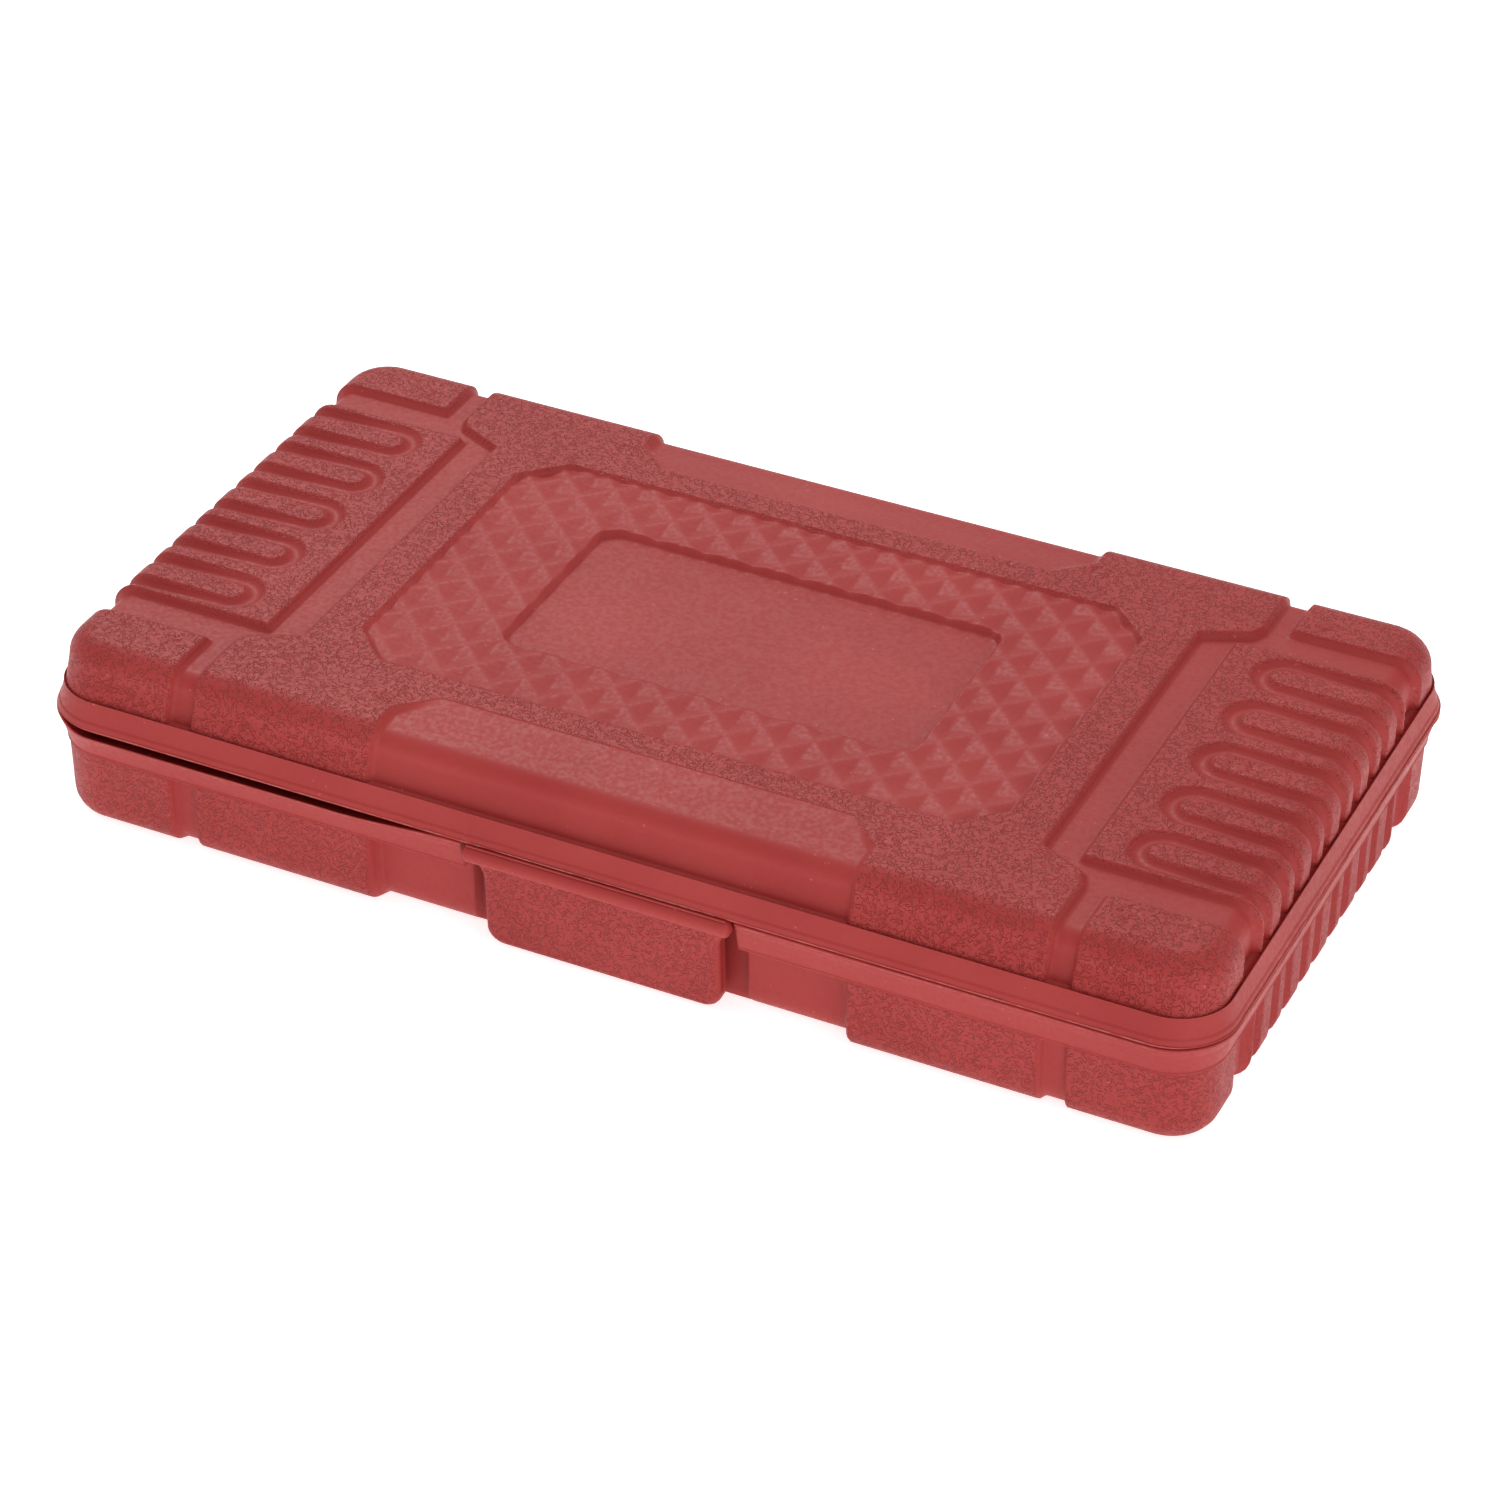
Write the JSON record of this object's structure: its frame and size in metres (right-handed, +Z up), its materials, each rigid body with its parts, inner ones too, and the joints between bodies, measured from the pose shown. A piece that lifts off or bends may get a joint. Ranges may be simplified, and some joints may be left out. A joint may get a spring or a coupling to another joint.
{
  "type": "socket wrench set in case",
  "caption": "Red moulded plastic carry case with a hinged lid and front latch, holding a ratchet, spinner handle, extension, adapter and sockets.",
  "frame": {"origin": "centre of the underside of the closed case", "axes": "+X along the case to the right, -Y to the latch side, +Z up"},
  "size_m": [0.2826, 0.1592, 0.0465],
  "materials": {
    "case_skin": "satin red polyethylene, leather-grained on the raised pads",
    "tray_skin": "satin red polyethylene, smooth",
    "chrome_plate": "polished chrome plate over forged steel",
    "bright_steel": "bright machined steel",
    "grip_plastic": "glossy red moulded grip",
    "black_lever": "black oxide lever",
    "black_rubber": "matte black rubber"
  },
  "bodies": {
    "case_base": {"base_shell": "case_skin", "base_tray": "tray_skin", "lid_hinge_webs": "case_skin", "ratchet_body": "chrome_plate", "ratchet_grip": "grip_plastic", "ratchet_cover": "bright_steel", "ratchet_cover_screws": "bright_steel", "ratchet_pawl_spring": "bright_steel", "spinner_grip": "grip_plastic", "spinner_shank": "chrome_plate", "spinner_ball": "bright_steel", "extension_bar": "chrome_plate", "extension_ball": "bright_steel", "drive_adapter": "chrome_plate", "adapter_ball": "bright_steel", "spark_plug_socket": "chrome_plate", "spark_plug_insert": "black_rubber", "large_socket_10mm": "chrome_plate", "large_socket_11mm": "chrome_plate", "large_socket_12mm": "chrome_plate", "large_socket_13mm": "chrome_plate", "large_socket_14mm": "chrome_plate", "large_socket_15mm": "chrome_plate", "large_socket_16mm": "chrome_plate", "large_socket_17mm": "chrome_plate", "large_socket_18mm": "chrome_plate", "large_socket_19mm": "chrome_plate", "small_socket_4mm": "chrome_plate", "small_socket_5mm": "chrome_plate", "small_socket_6mm": "chrome_plate", "small_socket_7mm": "chrome_plate", "small_socket_8mm": "chrome_plate", "small_socket_9mm": "chrome_plate", "small_socket_10mm": "chrome_plate", "small_socket_11mm": "chrome_plate", "small_socket_12mm": "chrome_plate", "small_socket_13mm": "chrome_plate"},
    "case_lid": {"lid_shell": "case_skin", "lid_liner": "tray_skin", "latch_hinge_web": "case_skin"},
    "latch": {"latch_flap": "case_skin"},
    "drive_gear": {"ratchet_drive_gear": "bright_steel", "ratchet_button_spring": "bright_steel"},
    "release_button": {"ratchet_release_button": "chrome_plate"},
    "drive_ball": {"ratchet_drive_ball": "bright_steel"},
    "reversing_lever": {"ratchet_reversing_lever": "black_lever"},
    "pawl": {"ratchet_pawl": "bright_steel"}
  },
  "joints": [
    {"name": "lid_hinge", "type": "hinge", "parent": "case_base", "child": "case_lid", "pos_m": [0, 0.079, 0.0282], "axis": [-1, 0, 0], "range_deg": [0, 180], "deforming": ["lid_hinge_webs"]},
    {"name": "latch_hinge", "type": "hinge", "parent": "case_lid", "child": "latch", "pos_m": [0, -0.0784, 0.0282], "axis": [-1, 0, 0], "range_deg": [0, 110], "deforming": ["latch_hinge_web"]},
    {"name": "drive_spin", "type": "hinge", "parent": "case_base", "child": "drive_gear", "pos_m": [-0.11, 0.046, 0.02], "axis": [0, 0, 1], "continuous": true},
    {"name": "release_press", "type": "slide", "parent": "drive_gear", "child": "release_button", "axis": [0, 0, -1], "range_m": [0, 0.0014], "stiffness_N_per_m": 300, "springref_m": -0.002, "deforming": ["ratchet_button_spring"]},
    {"name": "ball_sink", "type": "slide", "parent": "drive_gear", "child": "drive_ball", "axis": [-1, 0, 0], "range_m": [0, 0.0006]},
    {"name": "lever_swing", "type": "hinge", "parent": "case_base", "child": "reversing_lever", "pos_m": [-0.11, 0.046, 0.03], "axis": [0, 0, 1], "range_deg": [0, 40]},
    {"name": "pawl_rock", "type": "hinge", "parent": "case_base", "child": "pawl", "pos_m": [-0.0979, 0.046, 0.0228], "axis": [0, 0, 1], "range_deg": [0, 10]}
  ],
  "couplings": [
    {"joint": "ball_sink", "follows": "release_press", "ratio": 0.375},
    {"joint": "pawl_rock", "follows": "lever_swing", "ratio": 0.25}
  ]
}
